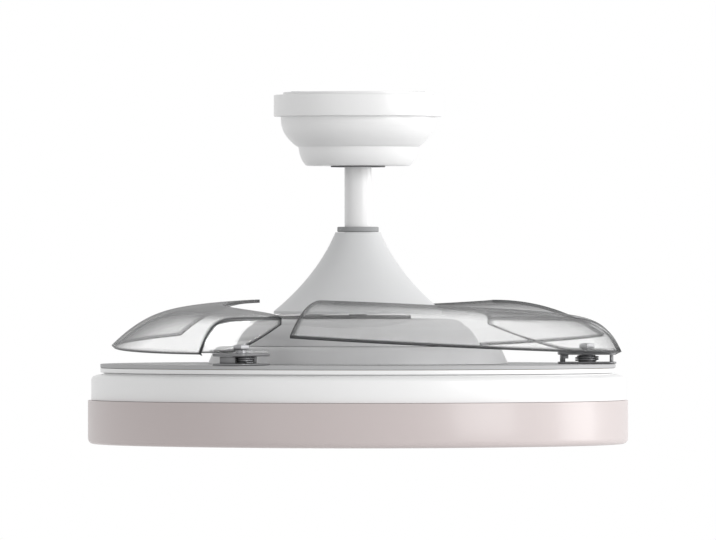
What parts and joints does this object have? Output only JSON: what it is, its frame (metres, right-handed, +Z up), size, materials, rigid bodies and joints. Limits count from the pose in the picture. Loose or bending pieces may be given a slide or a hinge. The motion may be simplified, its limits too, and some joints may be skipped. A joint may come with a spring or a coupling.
{
  "type": "retractable blade ceiling fan",
  "caption": "Ceiling fan on a short downrod, with clear blades that fold over a round lamp and swing out together on geared pivots when the turntable spins.",
  "frame": {"origin": "centre of the hanger bracket's top face, where it meets the ceiling", "axes": "+Z up along the fan's axis, +X through the first blade pivot, the pictured view looks along +Y"},
  "size_m": [0.5, 0.5, 0.3288],
  "materials": {
    "white_coat": "satin",
    "grey_coat": "satin",
    "dark_steel": "satin",
    "bright_steel": "satin",
    "clear_blade": "clear",
    "opal_diffuser": "matte",
    "white_plastic": "matte",
    "dark_plastic": "matte",
    "gear_brass": "satin",
    "copper_coils": "satin",
    "board_white": "matte"
  },
  "bodies": {
    "mount": {"hanger_bracket": "bright_steel", "canopy": "white_coat", "canopy_trim_ring": "white_coat", "canopy_screw_right": "bright_steel", "canopy_screw_left": "bright_steel", "receiver_box": "white_plastic", "terminal_block": "white_plastic"},
    "hanger": {"hanger_ball": "dark_plastic", "ball_pin": "bright_steel", "downrod": "white_coat", "motor_coupling": "dark_steel", "coupling_pin": "bright_steel", "coupling_clip": "bright_steel", "rod_collar": "dark_plastic", "cone_cover": "white_coat", "motor_shaft": "bright_steel", "stator": "copper_coils", "lamp_hub": "bright_steel", "shaft_nut": "bright_steel", "lamp_pan": "white_coat", "led_board": "board_white", "led_driver": "white_plastic"},
    "diffuser": {"diffuser": "opal_diffuser"},
    "rotor": {"motor_shell_top": "dark_steel", "motor_shell_bottom": "dark_steel", "magnet_ring": "dark_steel", "bearing_top": "bright_steel", "bearing_bottom": "bright_steel", "motor_cover": "grey_coat", "hub_ring": "grey_coat", "turntable_deck": "dark_steel", "turntable_tray": "white_coat", "pivot_housing_1": "dark_steel", "pivot_housing_2": "dark_steel", "pivot_housing_3": "dark_steel", "return_spring_1": "bright_steel", "return_spring_2": "bright_steel", "return_spring_3": "bright_steel"},
    "sync": {"sync_ring": "gear_brass"},
    "blade_arm_1": {"blade_1": "clear_blade", "blade_root_plate_1": "dark_steel", "pivot_shaft_1": "bright_steel", "pivot_pinion_1": "gear_brass"},
    "blade_arm_2": {"blade_2": "clear_blade", "blade_root_plate_2": "dark_steel", "pivot_shaft_2": "bright_steel", "pivot_pinion_2": "gear_brass"},
    "blade_arm_3": {"blade_3": "clear_blade", "blade_root_plate_3": "dark_steel", "pivot_shaft_3": "bright_steel", "pivot_pinion_3": "gear_brass"}
  },
  "joints": [
    {"name": "hanger_swing", "type": "hinge", "parent": "mount", "child": "hanger", "pos_m": [0, 0, -0.04], "axis": [1, 0, 0], "range_deg": [-15, 15]},
    {"name": "rotor_spin", "type": "hinge", "parent": "hanger", "child": "rotor", "pos_m": [0, 0, -0.23], "axis": [0, 0, 1], "continuous": true},
    {"name": "diffuser_twist", "type": "hinge", "parent": "hanger", "child": "diffuser", "pos_m": [0, 0, -0.285], "axis": [0, 0, 1], "range_deg": [0, 20]},
    {"name": "blade_open_1", "type": "hinge", "parent": "rotor", "child": "blade_arm_1", "pos_m": [0.212, 0, -0.24], "axis": [0, 0, 1], "range_deg": [0, 135], "stiffness_Nm_per_rad": 0.02, "springref_deg": -34.38},
    {"name": "blade_open_2", "type": "hinge", "parent": "rotor", "child": "blade_arm_2", "pos_m": [-0.106, 0.1836, -0.24], "axis": [0, 0, 1], "range_deg": [0, 135], "stiffness_Nm_per_rad": 0.02, "springref_deg": -34.38},
    {"name": "blade_open_3", "type": "hinge", "parent": "rotor", "child": "blade_arm_3", "pos_m": [-0.106, -0.1836, -0.24], "axis": [0, 0, 1], "range_deg": [0, 135], "stiffness_Nm_per_rad": 0.02, "springref_deg": -34.38},
    {"name": "sync_turn", "type": "hinge", "parent": "rotor", "child": "sync", "pos_m": [0, 0, -0.256], "axis": [0, 0, 1], "range_deg": [-14.2, 0]}
  ],
  "couplings": [
    {"joint": "blade_open_2", "follows": "blade_open_1", "ratio": 1},
    {"joint": "blade_open_3", "follows": "blade_open_1", "ratio": 1},
    {"joint": "sync_turn", "follows": "blade_open_1", "ratio": -0.10417}
  ]
}
